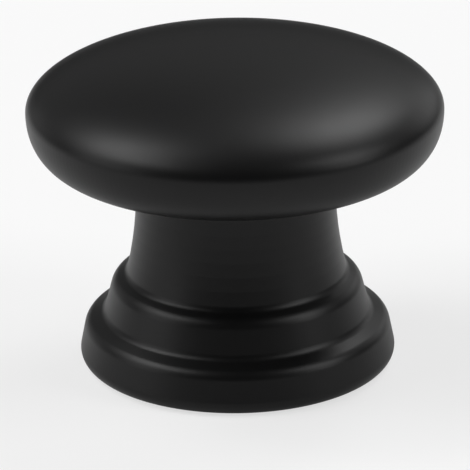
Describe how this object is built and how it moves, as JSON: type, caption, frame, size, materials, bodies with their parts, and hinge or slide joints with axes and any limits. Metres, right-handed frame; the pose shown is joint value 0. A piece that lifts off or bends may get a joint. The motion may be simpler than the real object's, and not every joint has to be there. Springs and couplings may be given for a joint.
{
  "type": "cabinet knob",
  "caption": "Round one-piece cabinet knob with a low domed head, waisted neck and stepped foot, coated satin black, with a tapped hole underneath for its fixing screw.",
  "frame": {"origin": "centre of the flat seating face, on the knob's axis", "axes": "+Z along the knob's axis, from the door out to the crown; X and Y lie in the seating face and are free, because the knob is round"},
  "size_m": [0.032, 0.032, 0.0248],
  "materials": {
    "black_coat": "fine satin-matt black powder coat"
  },
  "bodies": {
    "root": {"knob": "black_coat"}
  },
  "joints": []
}
